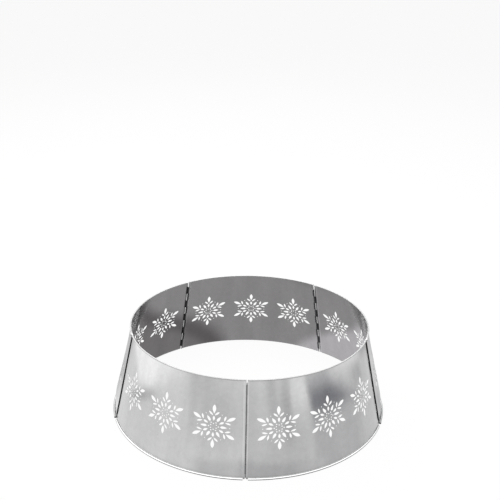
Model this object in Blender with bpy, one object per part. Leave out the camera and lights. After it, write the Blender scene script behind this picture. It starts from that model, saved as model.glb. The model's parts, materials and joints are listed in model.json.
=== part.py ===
"""Build a galvanised tree collar: five cone-shaped steel panels, hinged in a ring by wire pins.

Units are metres and +Z is up. The front seam faces -Y, and angles grow to the right, round the back.
"""
import math

import bmesh
import bpy
from mathutils import Matrix, Vector
from mathutils.geometry import delaunay_2d_cdt

# Names, in turn round the ring: panel k runs from seam k to the next seam
PANEL_NAMES = ("panel_front_right", "panel_rear_right", "panel_back", "panel_rear_left", "panel_front_left")
PIN_NAMES = ("closing_pin", "hinge_pin_right", "hinge_pin_rear_right", "hinge_pin_rear_left", "hinge_pin_left")

# The seam that each panel swings on. The back panel stays, and seam 0 is the one that opens
HINGE_SEAMS = (1, 2, None, 3, 4)

# Ring
FOOT_RADIUS = 0.3789
RIM_RADIUS = 0.3248
HEIGHT = 0.2500
SHEET = 0.0005
SEAM_GAP = 0.0021
RING_STEPS = 12

# Rolled edges at the foot and the rim, and the hem along each side of a panel
FOOT_ROLL = 0.0025
RIM_ROLL = 0.0015
ROLL_SETBACK = 0.0055
ROLL_SIDES = 6
LEFT_HEM = 0.0060
RIGHT_HEM = 0.0085
HEM_SLOPE = 0.0006

# Hinges: rolled knuckles inside the ring, and the wire pin through them
KNUCKLE_COUNT = 9
KNUCKLE_RADIUS = 0.0024
KNUCKLE_SIDES = 6
KNUCKLE_END_GAP = 0.0005
KNUCKLE_CLEARANCE = 0.0005
FOOT_MARGIN = 0.0120
RIM_MARGIN = 0.0140
WEB_WIDTH = 0.0014
WEB_EDGE_MARGIN = 0.0001
HOOK_HALF_ANGLE = math.radians(58)
PIN_RADIUS = 0.0012
PIN_PLAY = 0.0001
PIN_SEAT_GAP = 0.0003
PIN_TAIL = 0.0030
PIN_HEAD = 0.0080
PIN_ELBOW = 0.0025
ELBOW_STEPS = 3
PIN_BEVEL_RESOLUTION = 2

# Snowflakes cut through the sheet
FLAKES_PER_PANEL = 3
FLAKE_ARMS = 6
FLAKE_RADIUS = 0.0542
FLAKE_WIDENING = 1.12
FLAKE_RISE = 0.1266
FLAKE_SPACING = math.radians(22.7)

# Holes of one arm: the root, the tip, and the points of one flank, as shares along the hole and as half widths
PETAL_SHARES = (
    ((0, 0.640), (0, 1.000), ((0.35, 0.060), (0.78, 0.064))),
    ((0, 0.270), (0, 0.490), ((0.60, 0.045),)),
    ((0.055, 0.535), (0.215, 0.697), ((0.50, 0.037),)),
    ((-0.055, 0.535), (-0.215, 0.697), ((0.50, 0.037),)),
    ((0.145, 0.251), (0.277, 0.479), ((0.30, 0.050),)),
)

# Finish
PANEL_COLOUR = (0.66, 0.66, 0.67, 1)
PIN_COLOUR = (0.48, 0.48, 0.49, 1)
STEEL_METALLIC = 1.0
PANEL_ROUGHNESS = 0.38
PIN_ROUGHNESS = 0.30
SMOOTH_ANGLE = math.radians(25)
EMPTY_SIZE = FOOT_ROLL

# Places worked out from the sizes above
MERGE_DISTANCE = 1e-7
PANEL_ANGLE = 2 * math.pi / len(PANEL_NAMES)
ROLL_FLAT = math.cos(math.pi / ROLL_SIDES)
FOOT_CENTRE = Vector((FOOT_RADIUS, FOOT_ROLL * ROLL_FLAT))
RIM_CENTRE = Vector((RIM_RADIUS, HEIGHT - RIM_ROLL * ROLL_FLAT))
ROLL_SPAN = (RIM_CENTRE - FOOT_CENTRE).length
LEAN = (math.atan2(FOOT_CENTRE.x - RIM_CENTRE.x, RIM_CENTRE.y - FOOT_CENTRE.y)
        - math.asin((FOOT_ROLL - RIM_ROLL) / ROLL_SPAN))
OUTWARD = Vector((math.cos(LEAN), math.sin(LEAN)))
UPWARD = Vector((-math.sin(LEAN), math.cos(LEAN)))
SHEET_FOOT = FOOT_CENTRE - OUTWARD * (FOOT_ROLL - SHEET)
SLANT = math.sqrt(ROLL_SPAN ** 2 - (FOOT_ROLL - RIM_ROLL) ** 2)
APEX_DISTANCE = SHEET_FOOT.x / math.sin(LEAN)
HEM_DEPTH = 2 * SHEET
AXIS_DEPTH = HEM_DEPTH + KNUCKLE_CLEARANCE + KNUCKLE_RADIUS
BORE_RADIUS = (PIN_RADIUS + PIN_PLAY) / math.cos(math.pi / KNUCKLE_SIDES)
KNUCKLE_PITCH = (SLANT - FOOT_MARGIN - RIM_MARGIN) / KNUCKLE_COUNT
KNUCKLE_LENGTH = KNUCKLE_PITCH - KNUCKLE_END_GAP


def clear_scene():
    for thing in list(bpy.data.objects):
        bpy.data.objects.remove(thing, do_unlink=True)


def steel(name, colour, roughness):
    material = bpy.data.materials.new(name)
    material.use_nodes = True
    shader = material.node_tree.nodes["Principled BSDF"]
    shader.inputs["Base Color"].default_value = colour
    shader.inputs["Metallic"].default_value = STEEL_METALLIC
    shader.inputs["Roughness"].default_value = roughness
    material.diffuse_color = colour
    return material


def ring_point(angle, radius, height):
    return Vector((radius * math.sin(angle), -radius * math.cos(angle), height))


def wall_point(angle, rise, depth=0):
    """A point at a distance up the sheet's slope, and at a depth behind its outer face."""
    place = SHEET_FOOT + UPWARD * rise - OUTWARD * depth
    return ring_point(angle, place.x, place.y)


def seam_frame(angle):
    """The frame of a seam's hinge axis: X along the ring, Y into the ring, Z up the axis."""
    along = Vector((math.cos(angle), math.sin(angle), 0))
    up = Vector((-math.sin(angle) * math.sin(LEAN), math.cos(angle) * math.sin(LEAN), math.cos(LEAN)))
    frame = Matrix((along, up.cross(along), up)).transposed().to_4x4()
    frame.translation = wall_point(angle, 0, AXIS_DEPTH)
    return frame


def radius_at(rise):
    return SHEET_FOOT.x - rise * math.sin(LEAN)


def to_flat(angle, rise):
    """Unroll a place on the cone onto the flat sheet that the panel is cut from."""
    reach = APEX_DISTANCE - rise
    turn = angle * math.sin(LEAN)
    return Vector((reach * math.sin(turn), APEX_DISTANCE - reach * math.cos(turn)))


def from_flat(x, y):
    """The reverse of to_flat. The cone's apex may lie above the wall or below it."""
    side = math.copysign(1, LEAN)
    reach = side * math.hypot(x, APEX_DISTANCE - y)
    turn = math.atan2(side * x, side * (APEX_DISTANCE - y))
    return turn / math.sin(LEAN), APEX_DISTANCE - reach


def triangulate(loops, guides):
    """Fill an outline with holes. The first loop is the outline, and guides are pairs of its points."""
    points = [Vector(point) for loop in loops for point in loop]
    faces = []
    first = 0
    for loop in loops:
        faces.append(list(range(first, first + len(loop))))
        first += len(loop)
    filled = delaunay_2d_cdt(points, guides, faces, 1, MERGE_DISTANCE)
    corners, triangles, owners = filled[0], filled[2], filled[5]
    triangles = [triangle for triangle, owner in zip(triangles, owners) if owner == [0]]
    sides = {(a, b) for t in triangles for a, b in zip(t, t[1:] + t[:1])}
    border = [(a, b) for a, b in sorted(sides) if (b, a) not in sides]
    return corners, triangles, border


def loft(mesh, loops, stations, guides=()):
    """Add the closed body that runs through the stations, each a function that places the outline."""
    corners, triangles, border = triangulate(loops, list(guides))
    rings = [[mesh.verts.new(place(*corner)) for corner in corners] for place in stations]
    for a, b, c in triangles:
        mesh.faces.new((rings[0][c], rings[0][b], rings[0][a]))
        mesh.faces.new((rings[-1][a], rings[-1][b], rings[-1][c]))
    for ring, following in zip(rings, rings[1:]):
        for a, b in border:
            mesh.faces.new((ring[a], ring[b], following[b], following[a]))


def finish_mesh(mesh, name):
    bmesh.ops.recalc_face_normals(mesh, faces=mesh.faces)
    data = bpy.data.meshes.new(name)
    mesh.to_mesh(data)
    mesh.free()
    data.shade_smooth()
    data.set_sharp_from_angle(angle=SMOOTH_ANGLE)
    return data


def arc(radius, start, end, steps):
    turns = [start + (end - start) * step / steps for step in range(steps + 1)]
    return [Vector((radius * math.cos(turn), radius * math.sin(turn))) for turn in turns]


def polygon(radius, sides):
    """A regular outline with a flat side at its foot."""
    half = math.pi / sides
    return arc(radius, half - math.pi / 2, half - math.pi / 2 + 2 * math.pi, sides)[:-1]


def petal_outline(root, tip, flank):
    """The outline of one hole, in shares of the snowflake's radius."""
    root, tip = Vector(root), Vector(tip)
    side = (tip - root).orthogonal().normalized()
    right = [root.lerp(tip, along) - side * width for along, width in flank]
    left = [root.lerp(tip, along) + side * width for along, width in reversed(flank)]
    return [root, *right, tip, *left]


def flake_outlines(angle):
    """The holes of the snowflake whose centre is at this angle from the panel's middle."""
    centre_rise = (FLAKE_RISE - SHEET_FOOT.y) / math.cos(LEAN)
    centre = to_flat(angle, centre_rise)
    widening = Matrix.Diagonal((FLAKE_WIDENING, 1))
    place_of_flake = Matrix.Rotation(angle * math.sin(LEAN), 2) @ widening
    outlines = []
    for arm in range(FLAKE_ARMS):
        turn = Matrix.Rotation(2 * math.pi * arm / FLAKE_ARMS, 2)
        for petal in PETAL_SHARES:
            outline = [turn @ point * FLAKE_RADIUS for point in petal_outline(*petal)]
            outlines.append([centre + place_of_flake @ point for point in outline])
    return outlines


def side_angle(distance, rise):
    """The angle from the panel's middle of a line that keeps its distance from the seam."""
    return PANEL_ANGLE / 2 - math.asin(distance / radius_at(rise))


def ring_divisions():
    steps = range(1, RING_STEPS)
    return [PANEL_ANGLE * (step / RING_STEPS - 0.5) for step in steps]


def sheet_columns(rise):
    """Angles of the sheet's upright lines at one height: edge, hem, divisions, hem, edge."""
    edge = SEAM_GAP / 2
    left = [-side_angle(edge + offset, rise) for offset in (0, LEFT_HEM - HEM_SLOPE, LEFT_HEM)]
    right = [side_angle(edge + offset, rise) for offset in (RIGHT_HEM, RIGHT_HEM - HEM_SLOPE, 0)]
    return left + ring_divisions() + right


def inner_depth(angle, rise):
    from_edge = radius_at(rise) * math.sin(PANEL_ANGLE / 2 - abs(angle)) - SEAM_GAP / 2
    hem = RIGHT_HEM if angle > 0 else LEFT_HEM
    return HEM_DEPTH if from_edge < hem - HEM_SLOPE / 2 else SHEET


def outer_face(x, y):
    return wall_point(*from_flat(x, y))


def inner_face(x, y):
    angle, rise = from_flat(x, y)
    return wall_point(angle, rise, inner_depth(angle, rise))


def sheet_guides(columns):
    """The upright lines that no hole crosses: the hems, and the lines between snowflakes."""
    last = len(columns) - 1
    between = [len(columns) // 2 - RING_STEPS // (2 * FLAKES_PER_PANEL),
               len(columns) // 2 + RING_STEPS // (2 * FLAKES_PER_PANEL)]
    return [(column, 2 * last + 1 - column) for column in (1, 2, *between, last - 2, last - 1)]


def sheet_mesh():
    """The panel's sheet, with its hems and its snowflakes."""
    foot = [to_flat(angle, 0) for angle in sheet_columns(0)]
    rim = [to_flat(angle, SLANT) for angle in sheet_columns(SLANT)]
    loops = [foot + rim[::-1]]
    for flake in range(FLAKES_PER_PANEL):
        loops += flake_outlines(FLAKE_SPACING * (flake - (FLAKES_PER_PANEL - 1) / 2))
    mesh = bmesh.new()
    loft(mesh, loops, (outer_face, inner_face), sheet_guides(foot))
    return finish_mesh(mesh, "panel_sheet")


def add_roll(mesh, centre, roll_radius):
    """A hollow rolled edge that stops short of the panel's sides."""
    end = PANEL_ANGLE / 2 - math.asin((SEAM_GAP / 2 + ROLL_SETBACK) / centre.x)
    loops = [[centre + point for point in polygon(radius, ROLL_SIDES)]
             for radius in (roll_radius, roll_radius - SHEET)]
    stations = [lambda radius, height, angle=angle: ring_point(angle, radius, height)
                for angle in (-end, *ring_divisions(), end)]
    loft(mesh, loops, stations)


def knuckle_web():
    """Where the knuckle's strap meets the hem, with the panel on the +X side."""
    edge = SEAM_GAP / 2 + WEB_EDGE_MARGIN
    hem = HEM_DEPTH - SHEET / 2 - AXIS_DEPTH
    return [Vector((edge, hem)), Vector((edge + WEB_WIDTH, hem))]


def closed_knuckle():
    """Outline of a rolled knuckle, and of its bore, with the panel on the +X side."""
    side = 2 * math.pi / KNUCKLE_SIDES
    outer = arc(KNUCKLE_RADIUS, -side / 2, 3 * math.pi / 2, KNUCKLE_SIDES - 1)
    return [outer + knuckle_web(), polygon(BORE_RADIUS, KNUCKLE_SIDES)]


def open_knuckle():
    """Outline of a hooked knuckle, open on the side away from its panel."""
    steps = KNUCKLE_SIDES // 2
    outer = arc(KNUCKLE_RADIUS, -HOOK_HALF_ANGLE, HOOK_HALF_ANGLE, steps)
    inner = arc(BORE_RADIUS, HOOK_HALF_ANGLE, -HOOK_HALF_ANGLE, steps)
    return [outer[:1] + knuckle_web() + outer[1:] + inner]


def add_knuckles(mesh, panel_side, first, loops):
    """Knuckles at every second place of a seam. panel_side is +1 where the panel is to the right."""
    frame = seam_frame(-panel_side * PANEL_ANGLE / 2)
    for place in range(first, KNUCKLE_COUNT, 2):
        foot = FOOT_MARGIN + place * KNUCKLE_PITCH
        ends = (foot, foot + KNUCKLE_LENGTH)
        stations = [lambda x, y, rise=rise: frame @ Vector((panel_side * x, y, rise)) for rise in ends]
        loft(mesh, loops, stations)


def fittings_mesh(right_knuckle):
    """Everything that is rolled out of the sheet: foot, rim and knuckles."""
    mesh = bmesh.new()
    add_roll(mesh, FOOT_CENTRE, FOOT_ROLL)
    add_roll(mesh, RIM_CENTRE, RIM_ROLL)
    add_knuckles(mesh, 1, 0, closed_knuckle())
    add_knuckles(mesh, -1, 1, right_knuckle)
    return finish_mesh(mesh, "panel_fittings")


def add_object(name, data, material=None):
    thing = bpy.data.objects.new(name, data)
    bpy.context.scene.collection.objects.link(thing)
    if material and not data.materials:
        data.materials.append(material)
    return thing


def add_panel(name, middle, sheet, fittings, material):
    """A panel turned to its place in the ring, with its rolled parts joined to its sheet."""
    panel = add_object(name, sheet, material)
    panel.rotation_euler.z = middle
    rolled = add_object(name + "_rolled_parts", fittings, material)
    rolled.parent = panel
    rolled.hide_render = True
    rolled.display_type = "WIRE"
    union = panel.modifiers.new("rolled parts", "BOOLEAN")
    union.operation = "UNION"
    union.object = rolled
    return panel


def pin_curve():
    """A wire pin along +Z, with its head bent to +Y, into the ring."""
    shank_top = SLANT - RIM_MARGIN - KNUCKLE_END_GAP + PIN_SEAT_GAP
    elbow = [Vector((0, PIN_ELBOW - point.x, shank_top + point.y))
             for point in arc(PIN_ELBOW, 0, math.pi / 2, ELBOW_STEPS)]
    points = [Vector((0, 0, FOOT_MARGIN - PIN_TAIL)), *elbow, Vector((0, PIN_HEAD, shank_top + PIN_ELBOW))]
    data = bpy.data.curves.new("wire_pin", "CURVE")
    data.dimensions = "3D"
    data.bevel_depth = PIN_RADIUS
    data.bevel_resolution = PIN_BEVEL_RESOLUTION
    data.use_fill_caps = True
    spline = data.splines.new("POLY")
    spline.points.add(len(points) - 1)
    for place, point in zip(spline.points, points):
        place.co = (*point, 1)
    return data


def hang_on(child, parent_name, frame):
    """Carry an object on an empty that lies on its joint's axis."""
    axis = add_object(parent_name, None)
    axis.empty_display_size = EMPTY_SIZE
    axis.matrix_world = frame
    child.parent = axis
    child.matrix_parent_inverse = frame.inverted()
    return axis


def build():
    clear_scene()
    panel_steel = steel("galvanised_sheet", PANEL_COLOUR, PANEL_ROUGHNESS)
    pin_steel = steel("galvanised_wire", PIN_COLOUR, PIN_ROUGHNESS)
    sheet = sheet_mesh()
    plain = fittings_mesh(closed_knuckle())
    hooked = fittings_mesh(open_knuckle())
    wire = pin_curve()
    for index, (name, seam) in enumerate(zip(PANEL_NAMES, HINGE_SEAMS)):
        rolled_parts = hooked if index == len(PANEL_NAMES) - 1 else plain
        panel = add_panel(name, PANEL_ANGLE * (index + 0.5), sheet, rolled_parts, panel_steel)
        if seam is not None:
            hang_on(panel, name + "_axis", seam_frame(PANEL_ANGLE * seam))
    for seam, name in enumerate(PIN_NAMES):
        pin = add_object(name, wire, pin_steel)
        pin.matrix_world = seam_frame(PANEL_ANGLE * seam)


build()
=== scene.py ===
"""The looks of the sheet steel collar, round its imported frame. Metres, +Z up, the front seam faces -Y."""

import json
import math

import bpy
from mathutils import Matrix, Vector, noise
from mathutils.geometry import delaunay_2d_cdt


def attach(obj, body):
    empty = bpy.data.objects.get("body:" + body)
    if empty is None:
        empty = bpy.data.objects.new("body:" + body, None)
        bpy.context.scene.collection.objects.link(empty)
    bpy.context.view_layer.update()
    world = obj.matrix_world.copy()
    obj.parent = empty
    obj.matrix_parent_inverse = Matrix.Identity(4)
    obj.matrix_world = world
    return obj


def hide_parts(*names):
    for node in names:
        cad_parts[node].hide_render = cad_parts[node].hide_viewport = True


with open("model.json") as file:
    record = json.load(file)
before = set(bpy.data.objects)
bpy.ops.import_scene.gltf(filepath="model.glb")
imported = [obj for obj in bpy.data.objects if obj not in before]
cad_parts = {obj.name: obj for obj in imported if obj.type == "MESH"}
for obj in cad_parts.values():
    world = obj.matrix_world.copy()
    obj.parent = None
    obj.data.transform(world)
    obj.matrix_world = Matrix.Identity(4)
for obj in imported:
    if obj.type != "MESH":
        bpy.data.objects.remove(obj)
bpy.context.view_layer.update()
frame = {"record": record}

# Bodies in turn round the ring: panel k runs from seam k to the next seam, and pin k stands in seam k
PANEL_BODIES = ("front_right", "rear_right", "back", "rear_left", "front_left")
PIN_BODIES = ("pin_front", "pin_right", "pin_rear_right", "pin_rear_left", "pin_left")

# Ring, as in the solids
FOOT_RADIUS = 0.3789
RIM_RADIUS = 0.3248
HEIGHT = 0.2500
SHEET = 0.0005
SEAM_GAP = 0.0021

# Rolled edges at the foot and the rim, round where the solids have six sides, and a little larger
FOOT_ROLL = 0.0025
RIM_ROLL = 0.0015
FOOT_ROLL_GROWTH = 0.00035
RIM_ROLL_GROWTH = 0.0007
SOLID_ROLL_SIDES = 6
FOOT_ROLL_SETBACK = 0.0055
RIM_ROLL_SETBACK = 0.0015
ROLL_TURN = math.radians(318)
ROLL_STEPS = 22
SHARP_ANGLE = math.radians(40)

# Hems at the panels' sides: their widths, the slope down to the single sheet, and the rounded fold
LEFT_HEM = 0.0060
RIGHT_HEM = 0.0085
HEM_SLOPE = 0.0012
HEM_SLOPE_SHARES = (1, 0.75, 0.5, 0.25, 0)
HEM_RELIEF = 0.00025
EDGE_SETBACK = 0.0004
EDGE_DROP = 0.0006
EDGE_ROUND = 0.0030
FOLD_STEPS = 6

# The rear panels' front edges lip out over the front panels, and their folds carry painted shade, which
# together show as the dark line at each side; they bulge a little behind the lip. A side is 1 for the panel's
# right side and -1 for its left one
LIP_SIDES = {"rear_right": -1, "rear_left": 1}
FRONT_SIDES = {"front_right": -1, "front_left": 1}
LIP = 0.0029
LIP_REACH = 0.0240
LIP_FOOT_SHARE = 0.4
LIP_FOOT_RISE = 0.0200
LIP_COLUMNS = (0.0105, 0.0140, 0.0175)
BULGES = {"rear_right": 0.0040, "rear_left": 0.0050}
BULGE_START = 0.040
BULGE_END = (0.080, 0.190)
BULGE_FOOT = 0.050
BULGE_TOP = 0.200

# Hinges: knuckles of rolled strap between a margin at the foot and one at the rim, hooked open at one side of
# the front seam, and wire pins with a bent head
KNUCKLE_COUNT = 9
KNUCKLE_RADIUS = 0.0024
KNUCKLE_ROUND = 0.0022
KNUCKLE_CLEARANCE = 0.0005
KNUCKLE_END_GAP = 0.0005
FOOT_MARGIN = 0.0120
RIM_MARGIN = 0.0140
STRAP = 0.0006
STRAP_STEPS = 20
STRAP_LEAVE = 1.6 * KNUCKLE_RADIUS
STRAP_BEND = 1.1 * KNUCKLE_RADIUS
STRAP_BEND_RISE = STRAP / 6
BEND_STEPS = 8
CLOSED_TURN = (math.radians(-75), math.radians(-392))
HOOK_TURN = (math.radians(-60), math.radians(57))
PIN_RADIUS = 0.0012
PIN_SEAT_GAP = 0.0003
PIN_FOOT = 0.0010
PIN_HEAD = 0.0080
PIN_ELBOW = 0.0025
PIN_SIDES = 16
ELBOW_STEPS = 8
DOME_STEPS = 3

# Snowflakes
FLAKES_PER_PANEL = 3
FLAKE_ARMS = 6
FLAKE_RADIUS = 0.0542
FLAKE_WIDENING = 1.12
FLAKE_RISE = 0.1266
FLAKE_SPACING = math.radians(22.7)
FLAKE_CLEARANCE = 0.0020

# Holes of one arm, in shares of the snowflake's radius: root, tip, half width, then place of the belly,
# bluntness of the ends, points
PETAL_SHARES = (
    ((0, 0.602), (0, 1.030), 0.077, 0.57, 0.80, 22),
    ((0, 0.265), (0, 0.495), 0.052, 0.58, 0.80, 16),
    ((0.034, 0.524), (0.220, 0.704), 0.043, 0.54, 0.75, 16),
    ((-0.034, 0.524), (-0.220, 0.704), 0.043, 0.54, 0.75, 16),
    ((0.142, 0.246), (0.280, 0.485), 0.058, 0.36, 0.70, 18),
    ((0.0880, 0.1524), (0.1180, 0.2044), 0.031, 0.50, 0.50, 10),
    ((0, 0.108), (0, 0.166), 0.029, 0.50, 0.50, 10),
    ((0.3260, 0.5647), (0.3480, 0.6028), 0.022, 0.50, 0.50, 8),
)

# Fineness of the sheet's mesh, and the slight ripple of the thin metal
COLUMN_ANGLE = math.radians(1.2)
ROW_HEIGHT = 0.0080
END_ROWS = (0.0020, 0.0045)
RIPPLE = 0.00030
RIPPLE_SIZE = 0.080
SLOPE_STEP = 0.0001
MERGE_DISTANCE = 1e-7

# Painted shade, as shares of a full one: beside the seams and on their folds, along the hems' steps, above
# the foot's roll and below the rim's. The front seam gets less of it: one share at its foot, and another at
# its rim
HEM_ATTRIBUTE = "hem"
SHADE_ATTRIBUTE = "shade"
SHADE_WIDTH = 0.0024
SHADE_END = 0.0040
EDGE_SHADE = 0.55
FRONT_SHADES = (0.60, 0.15)
HEM_SHADE = 0.45
FOOT_SHADE = 0.38
FOOT_SHADE_RISE = 0.0095
RIM_SHADE = 0.05
RIM_SHADE_FALL = 0.0065

# Painted shade on the rolls themselves: on the rim's by the front seam, on the foot's by the side seams, and
# on the side of the foot's that faces down, where it ends with a blur at a normal whose Z is UNDERSIDE
RIM_ROLL_PAINTED_SHADE = 0.12
RIM_ROLL_PAINTED_SHADE_REACH = math.radians(48)
FOOT_ROLL_PAINTED_SHADE = 0.45
FOOT_ROLL_PAINTED_SHADE_REACH = math.radians(45)
UNDERSIDE = 0.10
UNDERSIDE_BLUR = 0.36
PAINTED_SHADE_COLOUR = (0.045, 0.045, 0.047, 1)

# Zinc: streaks up the slope, spangle that takes a share of their place, hems lighter as a painted highlight,
# and the depths of the flutes along the streaks and of the pits
STREAK_SCALE = 22
STREAK_STRETCH = 0.06
STREAK_DETAIL = 3
SPANGLE_SCALE = 110
SPANGLE_SHARE = 0.15
HEM_HIGHLIGHT_SHARE = 0.35
GRAIN_DETAIL = 4
ROUGHNESS_SPREAD = 0.04
FLUTE_DEPTH = 0.0002
PIT_DEPTH = 0.0003
PIT_STRENGTH = 0.04

# Looks of the metal: darker tone, lighter tone, roughness, scale of the grain, painted shade on what faces
# down. The rim's roll, the knuckles and the wire are darker copies of the metal, as painted shade, and the
# front seam's knuckles a less dark one
SHEET_LOOK = "galvanised_sheet_look"
FOOT_LOOK = "rolled_foot_look"
SHADED_RIM_LOOK = "shaded_rolled_rim_look"
SHADED_KNUCKLE_LOOK = "shaded_knuckle_look"
LESS_SHADED_FRONT_KNUCKLE_LOOK = "less_shaded_front_knuckle_look"
SHADED_WIRE_LOOK = "shaded_galvanised_wire_look"
LOOKS = {
    SHEET_LOOK: ((0.47, 0.47, 0.472, 1), (0.66, 0.66, 0.66, 1), 0.15, 900, False),
    FOOT_LOOK: ((0.60, 0.60, 0.60, 1), (0.72, 0.72, 0.72, 1), 0.20, 900, True),
    SHADED_RIM_LOOK: ((0.43, 0.43, 0.43, 1), (0.51, 0.51, 0.51, 1), 0.50, 900, False),
    SHADED_KNUCKLE_LOOK: ((0.07, 0.07, 0.074, 1), (0.15, 0.15, 0.155, 1), 0.35, 900, False),
    LESS_SHADED_FRONT_KNUCKLE_LOOK: ((0.18, 0.18, 0.184, 1), (0.28, 0.28, 0.285, 1), 0.30, 900, False),
    SHADED_WIRE_LOOK: ((0.24, 0.24, 0.245, 1), (0.36, 0.36, 0.365, 1), 0.28, 1600, False),
}

# Camera, from the photograph's fit: its axis passes over the ring's centre
CAMERA_LENS = 62.33
SENSOR = 36.0
CAMERA_DISTANCE = 2.3115
CAMERA_PITCH = math.radians(20.934)
CAMERA_ROLL = math.radians(-0.947)
CAMERA_TURN = math.radians(0.697)
LOOK_POINT = Vector((-0.0022, 0, 0.4592))

# Floor, backdrop and light. The shares of plain white are what the picture shows and what metal mirrors
FLOOR_SIZE = 40.0
FLOOR_COLOUR = (0.9, 0.9, 0.9, 1)
FLOOR_ROUGHNESS = 0.9
FLOOR_WHITE_SHARES = (0.93, 0.6)
WORLD_WHITE_SHARES = (0.928, 1.0)
WORLD_LIGHT = 0.25
LIGHT_PLACE = Vector((-0.3, 0.3, 2.4))
LIGHT_SIZE = 7.0
LIGHT_RADIANCE = 1.4

# The painted board that only the metal sees. The front wall mirrors a far place of it at half its bearing and
# a nearer one at more, the way down the wall goes with the logarithm of the distance, and what lies to the
# side counts as further out
BOARD_RADIUS = 6.0
BOARD_HEIGHT = 0.0005
BOARD_SIDES = 64
BOARD_REACH = 2.96
BOARD_FALL = 1.7
BOARD_SIDE = 170.0
BOARD_SIDE_LEAST = 0.3
BOARD_SPREAD = 2.0
BOARD_SPREAD_LOSS = 0.5

# Its patches, by where the front wall mirrors them, in degrees round the wall and in shares of the way down;
# -1 and 2 lie beyond the wall. Each has its left side, that side's lean and blur, the right side's, its top,
# bottom and their blur, the tilt of these two for a degree, and its tone
BOARD_PATCHES = (
    ("left_glow", -63, 30, 4, -32.5, -34, 9, -1, 0.34, 0.14, 0, (1.45, 1.45, 1.45)),
    ("left_shadow", -55, 0, 5, -43, 0, 5, 0.38, 0.48, 0.08, -0.0145, (0.58, 0.58, 0.59)),
    ("left_band", -25.4, 0, 0.8, -4, 0, 16, -1, 0.62, 0.35, 0, (0.83, 0.83, 0.83)),
    ("right_half", 0, 0, 6, 90, 0, 8, -1, 2, 0.3, 0, (0.85, 0.85, 0.855)),
    ("rim_light", -15, 0, 8, 16, 0, 6, -1, 0.10, 0.10, 0, (1.00, 1.00, 1.00)),
    ("first_streak", 8.5, 2, 1.5, 12.5, 4, 2.0, -1, 0.42, 0.20, 0, (0.72, 0.72, 0.73)),
    ("second_streak", 14.5, 3, 1.5, 18.5, 3, 1.5, 0.02, 0.62, 0.22, 0, (0.64, 0.64, 0.65)),
    ("bright_streak", 18.5, 4, 1.5, 25.2, 7, 0.8, -1, 0.30, 0.25, 0, (1.20, 1.20, 1.20)),
    ("dark_fringe", 25.4, 7, 0.8, 33, 50, 6, 0.05, 0.44, 0.10, 0, (0.55, 0.55, 0.57)),
    ("dark_patch", 25.8, 7, 0.8, 31, 42, 6, 0.15, 0.38, 0.09, 0, (0.18, 0.185, 0.21)),
    ("right_fall", 26.0, 4, 1.2, 50, 0, 9, 0.40, 2, 0.10, 0, (0.74, 0.74, 0.75)),
    ("near_foot", -22, 0, 10, 34, 0, 8, 0.90, 2, 0.12, 0, (0.80, 0.80, 0.81)),
    ("front_foot", -3, 0, 4, 24, 0, 10, 0.93, 2, 0.08, 0, (0.67, 0.67, 0.68)),
    ("right_glow", 38, 20, 8, 57, 0, 6, -1, 0.10, 0.12, 0, (1.22, 1.22, 1.22)),
    ("right_streak", 51, 0, 3, 57, 0, 4, 0.12, 0.31, 0.08, 0, (0.66, 0.66, 0.67)),
    ("right_side", 70, 0, 5, 90, 0, 8, -1, 0.45, 0.3, 0, (0.70, 0.70, 0.71)),
    ("right_corner", 58, 0, 4, 90, 0, 8, -1, 0.09, 0.08, 0, (0.62, 0.62, 0.63)),
    ("left_far", -130, 0, 10, -64, 0, 5, -1, 2, 0.3, 0, (0.69, 0.69, 0.70)),
    ("right_far", 61, 0, 5, 130, 0, 10, 0.55, 2, 0.3, 0, (0.66, 0.66, 0.67)),
)

# Soft streaks over the patches: how strong, how many in a degree and in the way down, and where they fade
BOARD_STREAK_STRENGTH = 0.16
BOARD_STREAKS_ROUND = 0.30
BOARD_STREAKS_DOWN = 0.8
BOARD_STREAKS_END = (0.5, -0.6)

# Within the collar the board has its own tones, for the inner side of the back wall: one tone, over it bands
# that start at a place along X with a blur (to its left, where that is negative), and a bright edge to both
# sides, by its radius and its place along X, each with a blur
BOARD_INSIDE = 0.375
INSIDE_TONE = (0.18, 0.17, 0.175, 1)
INSIDE_BANDS = (
    (-0.085, 0.07, (0.41, 0.40, 0.407, 1)),
    (0.155, 0.05, (0.71, 0.69, 0.71, 1)),
    (-0.155, -0.05, (0.27, 0.26, 0.26, 1)),
)
INSIDE_EDGE_RADIUS = (0.32, 0.08)
INSIDE_EDGE_SIDE = (0.31, 0.05)
INSIDE_EDGE_TONE = (0.90, 0.90, 0.90, 1)

# Places worked out from the sizes above
PANEL_ANGLE = 2 * math.pi / len(PANEL_BODIES)
MIDDLE_RADIUS = (FOOT_RADIUS + RIM_RADIUS) / 2
ROLL_FLAT = math.cos(math.pi / SOLID_ROLL_SIDES)
FOOT_CENTRE = Vector((FOOT_RADIUS, FOOT_ROLL * ROLL_FLAT))
RIM_CENTRE = Vector((RIM_RADIUS, HEIGHT - RIM_ROLL * ROLL_FLAT))
ROLL_SPAN = (RIM_CENTRE - FOOT_CENTRE).length
LEAN = (math.atan2(FOOT_CENTRE.x - RIM_CENTRE.x, RIM_CENTRE.y - FOOT_CENTRE.y)
        - math.asin((FOOT_ROLL - RIM_ROLL) / ROLL_SPAN))
OUTWARD = Vector((math.cos(LEAN), math.sin(LEAN)))
UPWARD = Vector((-math.sin(LEAN), math.cos(LEAN)))
SHEET_FOOT = FOOT_CENTRE - OUTWARD * (FOOT_ROLL - SHEET)
SLANT = math.sqrt(ROLL_SPAN ** 2 - (FOOT_ROLL - RIM_ROLL) ** 2)
APEX_DISTANCE = SHEET_FOOT.x / math.sin(LEAN)
HEM_DEPTH = 2 * SHEET
FOLD = HEM_DEPTH / 2
AXIS_DEPTH = HEM_DEPTH + KNUCKLE_CLEARANCE + KNUCKLE_RADIUS
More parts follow.
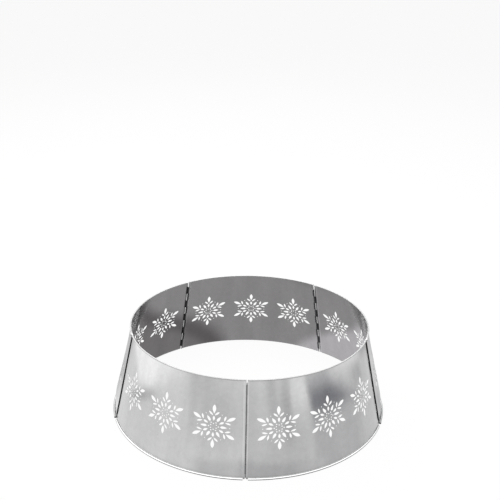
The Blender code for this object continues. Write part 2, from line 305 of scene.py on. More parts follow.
KNUCKLE_PITCH = (SLANT - FOOT_MARGIN - RIM_MARGIN) / KNUCKLE_COUNT
KNUCKLE_LENGTH = KNUCKLE_PITCH - KNUCKLE_END_GAP
MIDDLE_MARGIN = 2 * RIGHT_HEM


def ring_point(angle, radius, height):
    return Vector((radius * math.sin(angle), -radius * math.cos(angle), height))


def wall_point(angle, rise, depth):
    """A point at a rise up the slope and a depth behind the sheet's outer face."""
    place = SHEET_FOOT + UPWARD * rise - OUTWARD * depth
    return ring_point(angle, place.x, place.y)


def radius_at(rise):
    return SHEET_FOOT.x - rise * math.sin(LEAN)


def seam_frame(angle):
    """The frame of a seam's hinge axis: X along the ring, Y into the ring, Z up the axis."""
    along = Vector((math.cos(angle), math.sin(angle), 0))
    up = Vector((-math.sin(angle) * math.sin(LEAN), math.cos(angle) * math.sin(LEAN), math.cos(LEAN)))
    place = Matrix((along, up.cross(along), up)).transposed().to_4x4()
    place.translation = wall_point(angle, 0, AXIS_DEPTH)
    return place


def to_flat(angle, rise):
    """The place of a point of the wall on the flat sheet, before it was bent into a cone."""
    reach = APEX_DISTANCE - rise
    turn = angle * math.sin(LEAN)
    return Vector((reach * math.sin(turn), APEX_DISTANCE - reach * math.cos(turn)))


def from_flat(point):
    reach = math.hypot(point.x, APEX_DISTANCE - point.y)
    return math.atan2(point.x, APEX_DISTANCE - point.y) / math.sin(LEAN), APEX_DISTANCE - reach


def smooth_step(value):
    value = min(max(value, 0.0), 1.0)
    return value * value * (3 - 2 * value)


def edge_distance(angle, rise):
    """How far a place on the wall lies from its nearer side, where the sheet is folded."""
    return radius_at(rise) * math.sin(PANEL_ANGLE / 2 - abs(angle)) - SEAM_GAP / 2


def hem_share(angle, rise):
    """1 over the hem, 0 over the single sheet, and in between on the slope between them."""
    hem = RIGHT_HEM if angle > 0 else LEFT_HEM
    return smooth_step((hem - edge_distance(angle, rise)) / HEM_SLOPE)


class Wall:
    """The faces of one panel's sheet, with its own ripple.

    One side of it may lip out and bulge, and one side may stand at the front seam: 1 for the right side,
    -1 for the left one and 0 for neither.
    """

    def __init__(self, seed, lip_side, bulge_height, front_side):
        self.seed = seed
        self.lip_side = lip_side
        self.bulge_height = bulge_height
        self.front_side = front_side

    def fold_shade(self, angle, rise):
        """Painted shade in the seam, less of it in the front one."""
        fade = smooth_step(rise / SHADE_END) * smooth_step((SLANT - rise) / SHADE_END)
        if angle * self.front_side > 0:
            foot, rim = FRONT_SHADES
            fade *= foot + (rim - foot) * rise / SLANT
        return fade

    def face_shade(self, angle, rise):
        """Painted shade on the outer face: by the seam, and fainter along the hem's step and beside the
        rolls.
        """
        share = hem_share(angle, rise)
        # 1 half way down the hem's step, and 0 at both its ends
        half_way = 4 * share * (1 - share)
        edge = EDGE_SHADE * smooth_step(1 - edge_distance(angle, rise) / SHADE_WIDTH)
        foot = FOOT_SHADE * smooth_step(1 - rise / FOOT_SHADE_RISE)
        rim = RIM_SHADE * smooth_step(1 - (SLANT - rise) / RIM_SHADE_FALL)
        return max(self.fold_shade(angle, rise) * max(edge, HEM_SHADE * half_way), foot, rim)

    def roll_painted_shade(self, angle, at_foot):
        """Painted shade on the rim's roll by the front seam, and on the rear panels' foot roll by the side
        seams.
        """
        side = self.lip_side if at_foot else self.front_side
        painted_shade_share, reach = (FOOT_ROLL_PAINTED_SHADE, FOOT_ROLL_PAINTED_SHADE_REACH) if at_foot else (RIM_ROLL_PAINTED_SHADE, RIM_ROLL_PAINTED_SHADE_REACH)
        return painted_shade_share * smooth_step(1 - (PANEL_ANGLE / 2 - angle * side) / reach) if side else 0.0

    def lip(self, angle, rise):
        """How far the sheet stands out at the side that laps over a front panel."""
        if angle * self.lip_side <= 0:
            return 0.0
        height = LIP * (LIP_FOOT_SHARE + (1 - LIP_FOOT_SHARE) * smooth_step(rise / LIP_FOOT_RISE))
        return height * smooth_step(1 - edge_distance(angle, rise) / LIP_REACH)

    def bulge(self, angle, rise):
        """How far the sheet stands out behind its lip."""
        if angle * self.lip_side <= 0:
            return 0.0
        near, far = BULGE_END
        distance = edge_distance(angle, rise)
        across = smooth_step(distance / BULGE_START) * smooth_step((far - distance) / (far - near))
        up = smooth_step(rise / BULGE_FOOT) * smooth_step(1 - rise / BULGE_TOP)
        return self.bulge_height * across * up

    def ripple(self, angle, rise):
        fade = smooth_step(rise / RIPPLE_SIZE) * smooth_step((SLANT - rise) / RIPPLE_SIZE)
        place = Vector((angle * radius_at(rise), rise, 0)) / RIPPLE_SIZE
        place.z = self.seed
        return RIPPLE * fade * noise.noise(place) + self.bulge(angle, rise)

    def outer(self, angle, rise):
        relief = self.ripple(angle, rise) + HEM_RELIEF * hem_share(angle, rise) + self.lip(angle, rise)
        drop = EDGE_DROP * max(1 - edge_distance(angle, rise) / EDGE_ROUND, 0) ** 2
        return wall_point(angle, rise, drop - relief)

    def inner(self, angle, rise):
        thickness = SHEET + (HEM_DEPTH - SHEET) * hem_share(angle, rise)
        return wall_point(angle, rise, thickness - self.ripple(angle, rise))

    def normal(self, face, angle, rise):
        """The outward normal of one of the two faces, from its slopes."""
        turn = SLOPE_STEP / radius_at(rise)
        across = face(angle + turn, rise) - face(angle - turn, rise)
        up = face(angle, rise + SLOPE_STEP) - face(angle, rise - SLOPE_STEP)
        return across.cross(up).normalized()


def side_angle(distance, rise):
    """The angle of a place at a distance from the panel's right side."""
    return PANEL_ANGLE / 2 - math.asin((SEAM_GAP / 2 + distance) / radius_at(rise))


def hem_columns(hem):
    """Distances of the sheet's upright lines from its folded side."""
    slope = [hem - HEM_SLOPE * share for share in HEM_SLOPE_SHARES]
    return [EDGE_SETBACK + FOLD, EDGE_ROUND / 2, EDGE_ROUND, *slope, *LIP_COLUMNS]


def column_angles(rise):
    """The sheet's upright lines at one rise, from its left side to its right."""
    left = [-side_angle(distance, rise) for distance in hem_columns(LEFT_HEM)]
    right = [side_angle(distance, rise) for distance in reversed(hem_columns(RIGHT_HEM))]
    half = int((PANEL_ANGLE / 2 - MIDDLE_MARGIN / RIM_RADIUS) / COLUMN_ANGLE)
    middle = [step * COLUMN_ANGLE for step in range(-half, half + 1)]
    return left + middle + right


def petal_outline(root, tip, width, belly, bluntness, count):
    """A leaf-shaped hole in shares of the snowflake's radius, widest at its belly."""
    root, tip = Vector(root), Vector(tip)
    side = (tip - root).orthogonal().normalized()
    power = math.log(0.5) / math.log(belly)
    half = count // 2
    right, left = [], []
    for step in range(1, half):
        along = (1 - math.cos(math.pi * step / half)) / 2
        reach = width * math.sin(math.pi * along ** power) ** bluntness
        right.append(root.lerp(tip, along) - side * reach)
        left.append(root.lerp(tip, along) + side * reach)
    return [root, *right, tip, *reversed(left)]


def flake_centres():
    """Each snowflake's angle round the panel, and its centre on the flat sheet."""
    rise = (FLAKE_RISE - SHEET_FOOT.y) / math.cos(LEAN)
    angles = [FLAKE_SPACING * (flake - (FLAKES_PER_PANEL - 1) / 2) for flake in range(FLAKES_PER_PANEL)]
    return [(angle, to_flat(angle, rise)) for angle in angles]


def flake_outlines(angle, centre):
    """The holes of one snowflake, upright on the slope, on the flat sheet."""
    widening = Matrix.Diagonal((FLAKE_WIDENING, 1))
    place = Matrix.Rotation(angle * math.sin(LEAN), 2) @ widening
    outlines = []
    for arm in range(FLAKE_ARMS):
        turn = Matrix.Rotation(2 * math.pi * arm / FLAKE_ARMS, 2)
        for petal in PETAL_SHARES:
            outline = [turn @ point * FLAKE_RADIUS for point in petal_outline(*petal)]
            outlines.append([centre + place @ point for point in outline])
    return outlines


def sheet_pattern():
    """The flat sheet with its snowflakes: points, triangles and border edges."""
    rows = round(SLANT / ROW_HEIGHT)
    rises = [SLANT * row / rows for row in range(rows + 1)]
    rises = sorted(rises + [end for row in END_ROWS for end in (row, SLANT - row)])
    grid = [[to_flat(angle, rise) for angle in column_angles(rise)] for rise in rises]
    outline = grid[0] + [row[-1] for row in grid[1:-1]] + grid[-1][::-1] + [row[0] for row in grid[-2:0:-1]]
    centres = flake_centres()
    loops = [outline]
    for angle, centre in centres:
        loops += flake_outlines(angle, centre)
    clear = FLAKE_RADIUS * FLAKE_WIDENING + FLAKE_CLEARANCE
    inside = [point for row in grid[1:-1] for point in row[1:-1]
              if all((point - centre).length > clear for _, centre in centres)]
    points = [point for loop in loops for point in loop]
    faces, first = [], 0
    for loop in loops:
        faces.append(list(range(first, first + len(loop))))
        first += len(loop)
    places, _, cells, _, _, owners = delaunay_2d_cdt(points + inside, [], faces, 1, MERGE_DISTANCE)
    cells = [cell for cell, owner in zip(cells, owners) if owner == [0]]
    used = sorted({corner for cell in cells for corner in cell})
    number = {corner: index for index, corner in enumerate(used)}
    triangles = [tuple(number[corner] for corner in cell) for cell in cells]
    sides = {(triangle[k - 1], triangle[k]) for triangle in triangles for k in range(3)}
    border = [(start, end) for start, end in sorted(sides) if (end, start) not in sides]
    return [from_flat(places[corner]) for corner in used], triangles, border


def on_side(place):
    """Whether a border point lies on a folded side, and not on the foot, the rim or a hole."""
    return edge_distance(*place) < EDGE_SETBACK + FOLD + SLOPE_STEP


def new_mesh(name, corners, faces):
    data = bpy.data.meshes.new(name)
    data.from_pydata(corners, [], faces)
    return data


def store_values(data, attribute, values):
    """Keeps a value for each corner of a mesh, which a material reads by the attribute's name."""
    data.attributes.new(attribute, "FLOAT", "POINT").data.foreach_set("value", values)


class Builder:
    """Collects corners and faces with their own normals, and makes the mesh."""

    def __init__(self):
        self.corners, self.faces, self.normals = [], [], []
        self.places, self.hems, self.shades = [], [], []

    def corner(self, point, place, shade=0.0):
        angle, rise = place
        self.corners.append(point)
        self.places.append((angle * MIDDLE_RADIUS, rise))
        self.hems.append(hem_share(angle, rise))
        self.shades.append(shade)
        return len(self.corners) - 1

    def face(self, corners, normals=None):
        if normals is None:
            a, b, c = (self.corners[corner] for corner in corners[:3])
            normals = [(b - a).cross(c - a).normalized()] * len(corners)
        self.faces.append(corners)
        self.normals += normals

    def mesh(self, name):
        data = new_mesh(name, self.corners, self.faces)
        layer = data.uv_layers.new(name="wall")
        for loop, cell in zip(data.loops, layer.data):
            cell.uv = self.places[loop.vertex_index]
        store_values(data, HEM_ATTRIBUTE, self.hems)
        store_values(data, SHADE_ATTRIBUTE, self.shades)
        data.shade_smooth()
        data.normals_split_custom_set(self.normals)
        return data


def fold_corners(made, wall, place):
    """The rounded edge of the hem at one height, from the outer face round to the inner one."""
    angle, rise = place
    outer, inner = wall.outer(angle, rise), wall.inner(angle, rise)
    middle = (outer + inner) / 2
    across = Vector((math.cos(angle), math.sin(angle), 0)) * math.copysign(FOLD, angle)
    corners, normals = [], []
    for step in range(1, FOLD_STEPS):
        turn = math.pi * step / FOLD_STEPS
        offset = (outer - middle) * math.cos(turn) + across * math.sin(turn)
        corners.append(made.corner(middle + offset, place, wall.fold_shade(angle, rise)))
        normals.append(offset.normalized())
    return corners, normals


def sheet_mesh(name, wall, pattern):
    """The sheet with both faces, the walls of its holes and ends, and its rounded folds."""
    places, triangles, border = pattern
    made = Builder()
    outer = [made.corner(wall.outer(*place), place, wall.face_shade(*place)) for place in places]
    inner = [made.corner(wall.inner(*place), place) for place in places]
    out_normals = [wall.normal(wall.outer, *place) for place in places]
    in_normals = [-wall.normal(wall.inner, *place) for place in places]
    for triangle in triangles:
        back = triangle[::-1]
        made.face([outer[corner] for corner in triangle], [out_normals[corner] for corner in triangle])
        made.face([inner[corner] for corner in back], [in_normals[corner] for corner in back])
    folds = {}
    for first, second in border:
        if not (on_side(places[first]) and on_side(places[second])):
            made.face([outer[second], outer[first], inner[first], inner[second]])
            continue
        for end in (first, second):
            if end not in folds:
                corners, normals = fold_corners(made, wall, places[end])
                folds[end] = ([outer[end], *corners, inner[end]],
                              [out_normals[end], *normals, in_normals[end]])
        (near, near_normals), (far, far_normals) = folds[first], folds[second]
        for k in range(FOLD_STEPS):
            made.face([far[k], near[k], near[k + 1], far[k + 1]],
                      [far_normals[k], near_normals[k], near_normals[k + 1], far_normals[k + 1]])
    for end, (corners, _) in folds.items():
        angle, rise = places[end]
        if min(rise, SLANT - rise) < SLOPE_STEP:
            is_foot = rise < SLANT / 2
            made.face(corners if (angle > 0) != is_foot else corners[::-1])
    return made.mesh(name)


def strip_outline(path, thickness):
    """The outline of a bent strip of sheet, from the line along its middle."""
    left, right = [], []
    for index, point in enumerate(path):
        before, after = path[max(index - 1, 0)], path[min(index + 1, len(path) - 1)]
        side = Vector((before.y - after.y, after.x - before.x)).normalized() * thickness / 2
        left.append(point + side)
        right.append(point - side)
    return right + left[::-1]


def circle_points(centre, radius, start, end, steps):
    turns = [start + (end - start) * step / steps for step in range(steps + 1)]
    return [centre + radius * Vector((math.cos(turn), math.sin(turn))) for turn in turns]


def tube_faces(corner_count, sides):
    """The faces between rings of corners that follow each other."""
    faces = []
    for first in range(0, corner_count - sides, sides):
        for k in range(sides):
            after = (k + 1) % sides
            faces.append((first + k, first + after, first + sides + after, first + sides + k))
    return faces


def loft_mesh(name, outline, stations):
    """A closed body through the stations, each a function that places the outline."""
    count = len(outline)
    corners = [place(point) for place in stations for point in outline]
    faces = tube_faces(len(corners), count)
    last = len(corners) - count
    for cell in delaunay_2d_cdt(outline, [], [list(range(count))], 1, MERGE_DISTANCE)[2]:
        faces.append(tuple(reversed(cell)))
        faces.append(tuple(last + corner for corner in cell))
    data = new_mesh(name, corners, faces)
    data.shade_smooth()
    data.set_sharp_from_angle(angle=SHARP_ANGLE)
    return data


def roll_mesh(name, centre, roll_radius, growth, setback, wall, rise):
    """The sheet's edge curled outward into a hollow roll, short of the panel's sides.

    It stays flush with the sheet's inner face and with the end of the collar, however much it grows. The
    rear panels' rolls are pressed shut, since their ends face the front.
    """
    up = 1 if rise else -1
    flattened = roll_radius * ROLL_FLAT
    middle_place = centre - (roll_radius - flattened) * (OUTWARD - UPWARD * math.tan(LEAN))
    middle_place += growth * (OUTWARD - UPWARD * up * (1 + up * math.sin(LEAN)) / math.cos(LEAN))
    radius = flattened + growth
    if wall.lip_side:
        outline = circle_points(middle_place, radius, 0, 2 * math.pi, ROLL_STEPS)[:-1]
    else:
        start = math.pi + LEAN
        curl = circle_points(middle_place, radius - SHEET / 2, start, start + ROLL_TURN, ROLL_STEPS)
        outline = strip_outline(curl, SHEET)
    end = PANEL_ANGLE / 2 - math.asin((SEAM_GAP / 2 + setback) / centre.x)
    steps = round(2 * end / COLUMN_ANGLE)
    angles = [end * (2 * step / steps - 1) for step in range(steps + 1)]
    stations = [lambda point, angle=angle: ring_point(angle, point.x + wall.lip(angle, rise), point.y)
                for angle in angles]
    data = loft_mesh(name, outline, stations)
    painted_shade_shares = [wall.roll_painted_shade(angle, rise == 0) for angle in angles for _ in outline]
    store_values(data, SHADE_ATTRIBUTE, painted_shade_shares)
    return data


def hook_bend(radius, start, hem_face):
    """The tight turn by which the strap leaves the hem for its hook."""
    bend = (radius * math.sin(start) - hem_face) / (1 - math.sin(start))
    centre = (radius + bend) * Vector((math.cos(start), math.sin(start)))
    return circle_points(centre, bend, -math.pi / 2, start - math.pi, BEND_STEPS)[:-1]


def strap_path(turn):
    """The middle line of a knuckle's strap, from the hem and round the pin, with the panel at +X."""
    radius = KNUCKLE_ROUND - STRAP / 2
    hem_face = HEM_DEPTH - AXIS_DEPTH + STRAP / 2
    path = [Vector((LEFT_HEM, hem_face)), Vector((STRAP_LEAVE, hem_face))]
    if turn is HOOK_TURN:
        path += hook_bend(radius, turn[0], hem_face)
    else:
        path.append(Vector((STRAP_BEND, hem_face + STRAP_BEND_RISE)))
    return path + circle_points(Vector((0, 0)), radius, *turn, STRAP_STEPS)


def knuckle_mesh(name, side, number, turn):
    """A knuckle, numbered from the foot: side is 1 where the panel lies right of the seam, or else -1."""
    axis = seam_frame(-side * PANEL_ANGLE / 2)
    foot = FOOT_MARGIN + number * KNUCKLE_PITCH
    outline = strip_outline(strap_path(turn), STRAP)
    stations = [lambda point, rise=rise: axis @ Vector((side * point.x, point.y, rise))
                for rise in (foot, foot + KNUCKLE_LENGTH)]
    return loft_mesh(name, outline, stations)


def pin_path():
    """The pin's middle line, in its seam's frame: up the axis, and at the top bent into the ring."""
    top = SLANT - RIM_MARGIN - KNUCKLE_END_GAP + PIN_SEAT_GAP
    elbow = circle_points(Vector((PIN_ELBOW, top)), PIN_ELBOW, math.pi, math.pi / 2, ELBOW_STEPS)
    points = [Vector((0, PIN_FOOT)), *elbow, Vector((PIN_HEAD, top + PIN_ELBOW))]
    return [Vector((0, point.x, point.y)) for point in points]


def dome_rings(tip, inward, radius):
    """Centres and radii of the rings of a domed end, from its tip inward."""
    turns = [math.pi / 2 * step / DOME_STEPS for step in range(1, DOME_STEPS + 1)]
    return [(tip + inward * radius * (1 - math.cos(turn)), radius * math.sin(turn)) for turn in turns]


def rod_mesh(name, path, radius, sides):
    """A round wire along a path in the YZ plane, with domed ends."""
    rings = []
    for index, point in enumerate(path):
        tangent = (path[min(index + 1, len(path) - 1)] - path[max(index - 1, 0)]).normalized()
        if index == 0:
            sized = dome_rings(point, tangent, radius)
        elif index == len(path) - 1:
            sized = reversed(dome_rings(point, -tangent, radius))
        else:
            sized = [(point, radius)]
        rings += [(centre, size, tangent.cross(Vector((1, 0, 0)))) for centre, size in sized]
    turns = [2 * math.pi * step / sides for step in range(sides)]
    corners = [centre + size * (math.cos(turn) * Vector((1, 0, 0)) + math.sin(turn) * across)
               for centre, size, across in rings for turn in turns]
    ends = [tuple(range(sides - 1, -1, -1)), tuple(range(len(corners) - sides, len(corners)))]
    data = new_mesh(name, corners, tube_faces(len(corners), sides) + ends)
    data.shade_smooth()
    return data


def add_object(name, data):
    thing = bpy.data.objects.new(name, data)
    bpy.context.scene.collection.objects.link(thing)
    return thing


def dress(name, data, material, body, node, place):
    """Makes a piece that moves with its body and is seen instead of the body's solid."""
    data.transform(place)
    data.update()
    data.materials.append(material)
    piece = add_object(name, data)
    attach(piece, body)
    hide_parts(node)


def new_material(name):
    material = bpy.data.materials.new(name)
    material.use_nodes = True
    return material, material.node_tree


def feed(tree, value, socket):
    """Sets a socket to a number, vector or colour, or joins another node's output to it."""
    if isinstance(value, (int, float, tuple)):
        socket.default_value = value
    else:
        tree.links.new(value, socket)


def add_node(tree, kind, inputs=None, **settings):
    """A new node with its settings, and with its inputs fed by their names or numbers."""
    node = tree.nodes.new(kind)
    for key, value in settings.items():
        setattr(node, key, value)
    for key, value in (inputs or {}).items():
        feed(tree, value, node.inputs[key])
    return node


def calculate(tree, operation, *values):
    """A math node's output; each value is a number or another output."""
    return add_node(tree, "ShaderNodeMath", dict(enumerate(values)), operation=operation).outputs[0]


def soft_edge(tree, value, start, blur):
    """0 below the start and 1 above it, over a blur centred on it; a negative blur turns it round."""
    low, high = (0, 1) if blur > 0 else (1, 0)
    inputs = {"Value": value, "From Min": start - abs(blur) / 2, "From Max": start + abs(blur) / 2,
              "To Min": low, "To Max": high}
    return add_node(tree, "ShaderNodeMapRange", inputs, interpolation_type="SMOOTHSTEP").outputs["Result"]


def mix_values(tree, data_type, share, first, second):
    """The first value or colour, with a share of the second one mixed in."""
    inputs = {"Factor": share, "A": first, "B": second}
    return add_node(tree, "ShaderNodeMix", inputs, data_type=data_type).outputs["Result"]


def mix_colour(tree, share, first, second):
    return mix_values(tree, "RGBA", share, first, second)


def noise_pattern(tree, place, scale, detail):
    """Soft noise between 0 and 1, about a half on average."""
    inputs = {"Vector": place, "Scale": scale, "Detail": detail}
    return add_node(tree, "ShaderNodeTexNoise", inputs).outputs["Fac"]


def mesh_value(tree, attribute):
    """A value that the mesh keeps for each corner."""
    return add_node(tree, "ShaderNodeAttribute", attribute_name=attribute).outputs["Fac"]


def steel(name, dark, light, roughness, grain, painted_shade_below):
    """Galvanised steel: faint zinc spangle, soft streaks up the slope, fine pitting, a painted highlight on
    the hems and painted shade.
    """
    material, tree = new_material(name)
    shader = tree.nodes["Principled BSDF"]
    shader.inputs["Metallic"].default_value = 1.0
    place = add_node(tree, "ShaderNodeTexCoord").outputs["Object"]
    stretched = add_node(tree, "ShaderNodeMapping", {"Vector": place, "Scale": (1, 1, STREAK_STRETCH)})
    streaks = noise_pattern(tree, stretched.outputs["Vector"], STREAK_SCALE, STREAK_DETAIL)
    pitting = noise_pattern(tree, place, grain, GRAIN_DETAIL)

    spangle = add_node(tree, "ShaderNodeTexVoronoi", {"Vector": place, "Scale": SPANGLE_SCALE}, feature="F1")
    spangle_tones = add_node(tree, "ShaderNodeSeparateColor", {"Color": spangle.outputs["Color"]})
    light_share = mix_values(tree, "FLOAT", SPANGLE_SHARE, streaks, spangle_tones.outputs["Red"])
    # the hems lighter, as a painted highlight
    hem = mesh_value(tree, HEM_ATTRIBUTE)
    light_share = calculate(tree, "MULTIPLY_ADD", hem, HEM_HIGHLIGHT_SHARE, light_share)
    tone = mix_colour(tree, light_share, dark, light)

    # painted shade that the mesh keeps for each corner
    painted_shade_share = mesh_value(tree, SHADE_ATTRIBUTE)
    # painted shade on what faces down
    if painted_shade_below:
        normal = add_node(tree, "ShaderNodeTexCoord").outputs["Normal"]
        facing = add_node(tree, "ShaderNodeSeparateXYZ", {"Vector": normal})
        below = soft_edge(tree, facing.outputs["Z"], UNDERSIDE, -UNDERSIDE_BLUR)
        painted_shade_share = calculate(tree, "MAXIMUM", painted_shade_share, below)
    feed(tree, mix_colour(tree, painted_shade_share, tone, PAINTED_SHADE_COLOUR), shader.inputs["Base Color"])

    rough_range = {"Value": pitting, "To Min": roughness - ROUGHNESS_SPREAD,
                   "To Max": roughness + ROUGHNESS_SPREAD}
    rough = add_node(tree, "ShaderNodeMapRange", rough_range)
    feed(tree, rough.outputs["Result"], shader.inputs["Roughness"])
    flutes = add_node(tree, "ShaderNodeBump", {"Height": streaks, "Distance": FLUTE_DEPTH, "Strength": 1.0})
    pits = add_node(tree, "ShaderNodeBump", {"Height": pitting, "Distance": PIT_DEPTH,
                                             "Strength": PIT_STRENGTH, "Normal": flutes.outputs["Normal"]})
    feed(tree, pits.outputs["Normal"], shader.inputs["Normal"])
    return material


def build_panels(metals):
    """Each panel's sheet, rolls and knuckles, which stand at its two seams in turn."""
    pattern = sheet_pattern()
    for index, body in enumerate(PANEL_BODIES):
        place = Matrix.Rotation(PANEL_ANGLE * (index + 0.5), 4, "Z")
        front_side = FRONT_SIDES.get(body, 0)
        wall = Wall(index + 0.5, LIP_SIDES.get(body, 0), BULGES.get(body, 0), front_side)
        foot_roll = roll_mesh(body + "_foot_roll", FOOT_CENTRE, FOOT_ROLL, FOOT_ROLL_GROWTH,
                              FOOT_ROLL_SETBACK, wall, 0)
        rim_roll = roll_mesh(body + "_rim_roll", RIM_CENTRE, RIM_ROLL, RIM_ROLL_GROWTH,
                             RIM_ROLL_SETBACK, wall, SLANT)
        parts = [("sheet", sheet_mesh(body + "_sheet", wall, pattern), SHEET_LOOK),
                 ("foot_roll", foot_roll, FOOT_LOOK), ("rim_roll", rim_roll, SHADED_RIM_LOOK)]
        for number in range(KNUCKLE_COUNT):
            side = 1 if number % 2 == 0 else -1
            hooked = body == PANEL_BODIES[-1] and side < 0
            part = f"knuckle_{number + 1}"
            data = knuckle_mesh(f"{body}_{part}", side, number, HOOK_TURN if hooked else CLOSED_TURN)
            # knuckles darkened as painted shade in the seam, less so at the front seam
            parts.append((part, data, LESS_SHADED_FRONT_KNUCKLE_LOOK if side == -front_side else SHADED_KNUCKLE_LOOK))
        for part, data, look in parts:
            dress(f"{body}_{part}", data, metals[look], body, "panel_" + body, place)


def build_pins(metals):
    """A wire pin in each seam."""
    for seam, body in enumerate(PIN_BODIES):
        node = frame["record"]["behaviour"]["bodies"][body][0]
        data = rod_mesh(node + "_wire", pin_path(), PIN_RADIUS, PIN_SIDES)
        place = seam_frame(PANEL_ANGLE * seam)
        dress(node + "_wire", data, metals[SHADED_WIRE_LOOK], body, node, place)


def white_share(tree, in_picture, in_reflections):
    """How much of plain white a ray sees: one share in the picture, and another in reflections."""
    rays = add_node(tree, "ShaderNodeLightPath").outputs
    reflected = calculate(tree, "MAXIMUM", rays["Is Glossy Ray"], rays["Is Transmission Ray"])
    seen = calculate(tree, "MULTIPLY", rays["Is Camera Ray"], in_picture)
    return calculate(tree, "MULTIPLY_ADD", reflected, in_reflections, seen)


def build_floor():
    """A pale floor that shows nearly plain white and keeps the collar's shadow."""
    material, tree = new_material("pale_floor")
    shader = tree.nodes["Principled BSDF"]
    shader.inputs["Base Color"].default_value = FLOOR_COLOUR
    shader.inputs["Roughness"].default_value = FLOOR_ROUGHNESS
    shader.inputs["Specular IOR Level"].default_value = 0.0
    glow = add_node(tree, "ShaderNodeEmission")
    share = white_share(tree, *FLOOR_WHITE_SHARES)
    mix = add_node(tree, "ShaderNodeMixShader", {0: share, 1: shader.outputs["BSDF"],
                                                 2: glow.outputs["Emission"]})
    feed(tree, mix.outputs["Shader"], tree.nodes["Material Output"].inputs["Surface"])
    corners = [(x * FLOOR_SIZE, y * FLOOR_SIZE, 0) for x, y in ((-1, -1), (1, -1), (1, 1), (-1, 1))]
    data = new_mesh("floor", corners, [(0, 1, 2, 3)])
    data.materials.append(material)
    add_object("floor", data)


def build_world():
    """Faint light from all round, before a backdrop that shows nearly plain white."""
    world = bpy.data.worlds.new("studio")
    bpy.context.scene.world = world
    world.use_nodes = True
    tree = world.node_tree
    background = tree.nodes["Background"]
    background.inputs["Color"].default_value = (1, 1, 1, 1)
    strength = mix_values(tree, "FLOAT", white_share(tree, *WORLD_WHITE_SHARES), WORLD_LIGHT, 1.0)
    feed(tree, strength, background.inputs["Strength"])


def build_light():
    """One large soft box overhead, which faces the ring's foot."""
    light = bpy.data.lights.new("overhead_light", "AREA")
    light.size = LIGHT_SIZE
    light.energy = LIGHT_RADIANCE * math.pi * LIGHT_SIZE ** 2
    lamp = add_object("overhead_light", light)
    lamp.location = LIGHT_PLACE
    lamp.rotation_euler = (-LIGHT_PLACE).to_track_quat("-Z", "Y").to_euler()


def mirrored_place(tree, x, y, radius):
    """Where the front wall mirrors a place of the board: degrees round it, and share of the way down."""
    turn = calculate(tree, "ARCTAN2", x, calculate(tree, "MULTIPLY", y, -1.0))
    degrees = calculate(tree, "MULTIPLY", turn, math.degrees(1))
    aside = calculate(tree, "DIVIDE", calculate(tree, "ABSOLUTE", degrees), BOARD_SIDE)
    narrowing = calculate(tree, "MAXIMUM", calculate(tree, "SUBTRACT", 1.0, aside), BOARD_SIDE_LEAST)
    reach = calculate(tree, "DIVIDE", radius, narrowing)
    loss = calculate(tree, "DIVIDE", BOARD_SPREAD_LOSS, reach)
    bearing = calculate(tree, "DIVIDE", degrees, calculate(tree, "SUBTRACT", BOARD_SPREAD, loss))
    nearness = calculate(tree, "LOGARITHM", calculate(tree, "DIVIDE", BOARD_REACH, reach), math.e)
    return bearing, calculate(tree, "DIVIDE", nearness, BOARD_FALL)


def patch_share(tree, bearing, down, left, left_lean, left_blur, right, right_lean, right_blur,
                top, bottom, end_blur, tilt):
    """1 within a patch and 0 outside it, with soft sides that may lean and soft ends that may tilt."""
    from_left = calculate(tree, "MULTIPLY_ADD", down, -left_lean, bearing)
    from_right = calculate(tree, "MULTIPLY_ADD", down, -right_lean, bearing)
    off_middle = calculate(tree, "SUBTRACT", bearing, (left + right) / 2)
    tilted = calculate(tree, "MULTIPLY_ADD", off_middle, -tilt, down)
    sides = calculate(tree, "MULTIPLY", soft_edge(tree, from_left, left, left_blur),
                      soft_edge(tree, from_right, right, -right_blur))
    ends = calculate(tree, "MULTIPLY", soft_edge(tree, tilted, top, end_blur),
                     soft_edge(tree, tilted, bottom, -end_blur))
    return calculate(tree, "MULTIPLY", sides, ends)


def outside_tones(tree, bearing, down):
    """The board's patches over plain white, with soft streaks that fade on the way down."""
    colour = (1.0, 1.0, 1.0, 1)
    for _, *edges, tone in BOARD_PATCHES:
        colour = mix_colour(tree, patch_share(tree, bearing, down, *edges), colour, (*tone, 1))
    streak_x = calculate(tree, "MULTIPLY", bearing, BOARD_STREAKS_ROUND)
    streak_y = calculate(tree, "MULTIPLY", down, BOARD_STREAKS_DOWN)
    place = add_node(tree, "ShaderNodeCombineXYZ", {"X": streak_x, "Y": streak_y})
    streaks = noise_pattern(tree, place.outputs["Vector"], 1.0, STREAK_DETAIL)
    fade = calculate(tree, "MULTIPLY", soft_edge(tree, down, *BOARD_STREAKS_END), 2 * BOARD_STREAK_STRENGTH)
    change = calculate(tree, "MULTIPLY", calculate(tree, "SUBTRACT", streaks, 0.5), fade)
    streaked = {0: colour, "Scale": calculate(tree, "ADD", change, 1.0)}
    return add_node(tree, "ShaderNodeVectorMath", streaked, operation="SCALE").outputs[0]


def inside_tones(tree, x, radius):
    """The bands of tone within the collar, with the bright edge to both sides."""
    colour = INSIDE_TONE
    for start, blur, tone in INSIDE_BANDS:
        colour = mix_colour(tree, soft_edge(tree, x, start, blur), colour, tone)
    edge = calculate(tree, "MULTIPLY", soft_edge(tree, radius, *INSIDE_EDGE_RADIUS),
                     soft_edge(tree, calculate(tree, "ABSOLUTE", x), *INSIDE_EDGE_SIDE))
    return mix_colour(tree, edge, colour, INSIDE_EDGE_TONE)


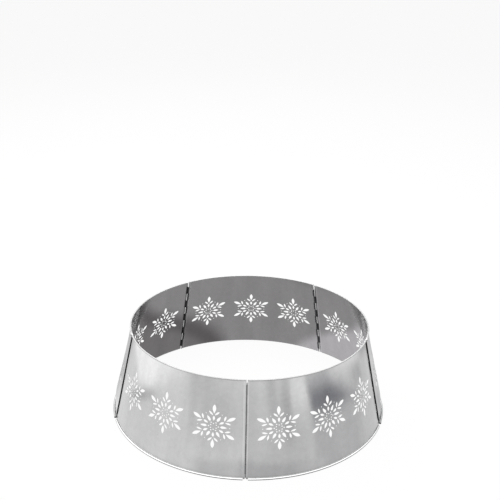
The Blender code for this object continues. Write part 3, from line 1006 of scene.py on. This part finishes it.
def build_board():
    """A painted board on the floor, round and inside the collar, which only its metal sees."""
    material, tree = new_material("board")
    tree.nodes.remove(tree.nodes["Principled BSDF"])
    place = add_node(tree, "ShaderNodeTexCoord").outputs["Object"]
    axes = add_node(tree, "ShaderNodeSeparateXYZ", {"Vector": place})
    x, y = axes.outputs["X"], axes.outputs["Y"]
    radius = add_node(tree, "ShaderNodeVectorMath", {0: place}, operation="LENGTH").outputs["Value"]
    outside = outside_tones(tree, *mirrored_place(tree, x, y, radius))
    is_inside = calculate(tree, "LESS_THAN", radius, BOARD_INSIDE)
    colour = mix_colour(tree, is_inside, outside, inside_tones(tree, x, radius))
    glow = add_node(tree, "ShaderNodeEmission", {"Color": colour})
    feed(tree, glow.outputs["Emission"], tree.nodes["Material Output"].inputs["Surface"])
    rim = [ring_point(2 * math.pi * side / BOARD_SIDES, BOARD_RADIUS, BOARD_HEIGHT)
           for side in range(BOARD_SIDES)]
    data = new_mesh("board", rim, [tuple(range(BOARD_SIDES))])
    data.materials.append(material)
    board = add_object("board", data)
    board.visible_camera = board.visible_diffuse = board.visible_shadow = False
    board.visible_transmission = board.visible_volume_scatter = False


def build_camera():
    """The photograph's camera: pitched down over the ring's centre, with a slight roll and turn."""
    data = bpy.data.cameras.new("camera")
    data.sensor_width = SENSOR
    data.lens = CAMERA_LENS
    camera = add_object("camera", data)
    forward = Vector((0, math.cos(CAMERA_PITCH), -math.sin(CAMERA_PITCH)))
    right = Vector((1, 0, 0))
    up = right.cross(forward)
    cosine, sine = math.cos(CAMERA_ROLL), math.sin(CAMERA_ROLL)
    axes = Matrix((cosine * right - sine * up, sine * right + cosine * up, -forward)).transposed().to_4x4()
    axes.translation = LOOK_POINT - forward * CAMERA_DISTANCE
    camera.matrix_world = Matrix.Rotation(CAMERA_TURN, 4, "Z") @ axes
    bpy.context.scene.camera = camera
    bpy.context.scene.view_settings.view_transform = "Standard"


all_metals = {name: steel(name, *look) for name, look in LOOKS.items()}
build_panels(all_metals)
build_pins(all_metals)
build_floor()
build_world()
build_light()
build_board()
build_camera()
